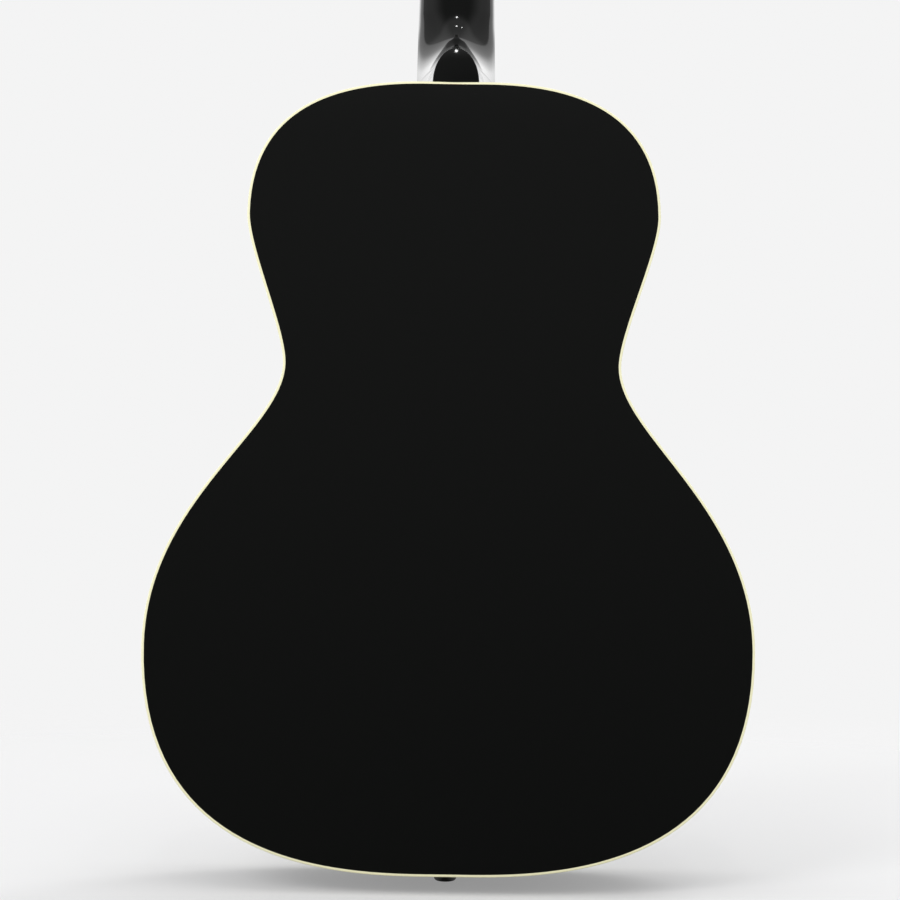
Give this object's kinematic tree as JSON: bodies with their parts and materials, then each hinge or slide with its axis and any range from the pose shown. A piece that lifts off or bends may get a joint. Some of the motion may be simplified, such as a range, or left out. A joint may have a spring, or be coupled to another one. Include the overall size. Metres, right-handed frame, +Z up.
{
  "type": "acoustic guitar",
  "caption": "Small-bodied flat-top steel-string acoustic guitar in gloss black with cream binding, a plain paddle headstock and open-gear tuners whose worms turn the string posts.",
  "frame": {"origin": "centre of the end pin's flat outer face, on the body's centre line at half the depth of the tail", "axes": "+Z up along the neck, -Y the way the soundboard faces, +Y the way the back faces, +X the treble side"},
  "size_m": [0.375, 0.1223, 1.0175],
  "materials": {
    "black_lacquer": "high-gloss black lacquer over wood",
    "cream_binding": "glossy cream plastic",
    "mahogany": "bare wood",
    "spruce": "bare wood",
    "rosewood": "oiled dark wood",
    "bone": "polished bone",
    "ebony": "polished dark wood",
    "tortoise": "mottled plastic sheet",
    "steel": "plain steel",
    "bronze_wire": "bronze-wound wire",
    "nickel": "nickel plate",
    "ivory_plastic": "glossy ivory-coloured plastic"
  },
  "bodies": {
    "guitar": {"back": "black_lacquer", "soundboard": "black_lacquer", "side_bass": "black_lacquer", "side_treble": "black_lacquer", "top_binding": "cream_binding", "back_binding": "cream_binding", "neck_block": "mahogany", "tail_block": "mahogany", "lining_top_bass": "mahogany", "lining_top_treble": "mahogany", "lining_back_bass": "mahogany", "lining_back_treble": "mahogany", "x_brace_bass": "spruce", "x_brace_treble": "spruce", "bridge_plate": "mahogany", "back_brace_1": "spruce", "back_brace_2": "spruce", "back_brace_3": "spruce", "neck": "black_lacquer", "fretboard": "rosewood", "nut": "bone", "bridge": "rosewood", "saddle": "bone", "end_pin": "ebony", "heel_cap": "black_lacquer", "pickguard": "tortoise", "truss_rod": "steel", "truss_rod_cover": "black_lacquer", "tuner_plate_bass": "nickel", "tuner_plate_treble": "nickel", "bridge_pin_1": "ivory_plastic", "bridge_pin_2": "ivory_plastic", "bridge_pin_3": "ivory_plastic", "bridge_pin_4": "ivory_plastic", "bridge_pin_5": "ivory_plastic", "bridge_pin_6": "ivory_plastic", "string_1": "steel", "string_2": "steel", "string_3": "bronze_wire", "string_4": "bronze_wire", "string_5": "bronze_wire", "string_6": "bronze_wire"},
    "knob_1": {"tuner_worm_1": "nickel", "tuner_button_1": "ivory_plastic"},
    "post_1": {"tuner_post_1": "nickel"},
    "knob_2": {"tuner_worm_2": "nickel", "tuner_button_2": "ivory_plastic"},
    "post_2": {"tuner_post_2": "nickel"},
    "knob_3": {"tuner_worm_3": "nickel", "tuner_button_3": "ivory_plastic"},
    "post_3": {"tuner_post_3": "nickel"},
    "knob_4": {"tuner_worm_4": "nickel", "tuner_button_4": "ivory_plastic"},
    "post_4": {"tuner_post_4": "nickel"},
    "knob_5": {"tuner_worm_5": "nickel", "tuner_button_5": "ivory_plastic"},
    "post_5": {"tuner_post_5": "nickel"},
    "knob_6": {"tuner_worm_6": "nickel", "tuner_button_6": "ivory_plastic"},
    "post_6": {"tuner_post_6": "nickel"}
  },
  "joints": [
    {"name": "knob_turn_1", "type": "hinge", "parent": "guitar", "child": "knob_1", "pos_m": [0.026, -0.02375, 0.90161], "axis": [1, 0, 0], "continuous": true},
    {"name": "post_turn_1", "type": "hinge", "parent": "guitar", "child": "post_1", "pos_m": [0.026, -0.04363, 0.89969], "axis": [0, 0.9659, -0.2588], "continuous": true},
    {"name": "knob_turn_2", "type": "hinge", "parent": "guitar", "child": "knob_2", "pos_m": [0.026, -0.01392, 0.93831], "axis": [1, 0, 0], "continuous": true},
    {"name": "post_turn_2", "type": "hinge", "parent": "guitar", "child": "post_2", "pos_m": [0.026, -0.03379, 0.93639], "axis": [0, 0.9659, -0.2588], "continuous": true},
    {"name": "knob_turn_3", "type": "hinge", "parent": "guitar", "child": "knob_3", "pos_m": [0.026, -0.00409, 0.97502], "axis": [1, 0, 0], "continuous": true},
    {"name": "post_turn_3", "type": "hinge", "parent": "guitar", "child": "post_3", "pos_m": [0.026, -0.02396, 0.9731], "axis": [0, 0.9659, -0.2588], "continuous": true},
    {"name": "knob_turn_4", "type": "hinge", "parent": "guitar", "child": "knob_4", "pos_m": [-0.026, -0.00771, 0.9615], "axis": [-1, 0, 0], "continuous": true},
    {"name": "post_turn_4", "type": "hinge", "parent": "guitar", "child": "post_4", "pos_m": [-0.026, -0.02396, 0.9731], "axis": [0, 0.9659, -0.2588], "continuous": true},
    {"name": "knob_turn_5", "type": "hinge", "parent": "guitar", "child": "knob_5", "pos_m": [-0.026, -0.01754, 0.92479], "axis": [-1, 0, 0], "continuous": true},
    {"name": "post_turn_5", "type": "hinge", "parent": "guitar", "child": "post_5", "pos_m": [-0.026, -0.03379, 0.93639], "axis": [0, 0.9659, -0.2588], "continuous": true},
    {"name": "knob_turn_6", "type": "hinge", "parent": "guitar", "child": "knob_6", "pos_m": [-0.026, -0.02738, 0.88809], "axis": [-1, 0, 0], "continuous": true},
    {"name": "post_turn_6", "type": "hinge", "parent": "guitar", "child": "post_6", "pos_m": [-0.026, -0.04363, 0.89969], "axis": [0, 0.9659, -0.2588], "continuous": true}
  ],
  "couplings": [
    {"joint": "post_turn_1", "follows": "knob_turn_1", "ratio": -0.071429},
    {"joint": "post_turn_2", "follows": "knob_turn_2", "ratio": -0.071429},
    {"joint": "post_turn_3", "follows": "knob_turn_3", "ratio": -0.071429},
    {"joint": "post_turn_4", "follows": "knob_turn_4", "ratio": -0.071429},
    {"joint": "post_turn_5", "follows": "knob_turn_5", "ratio": -0.071429},
    {"joint": "post_turn_6", "follows": "knob_turn_6", "ratio": -0.071429}
  ]
}
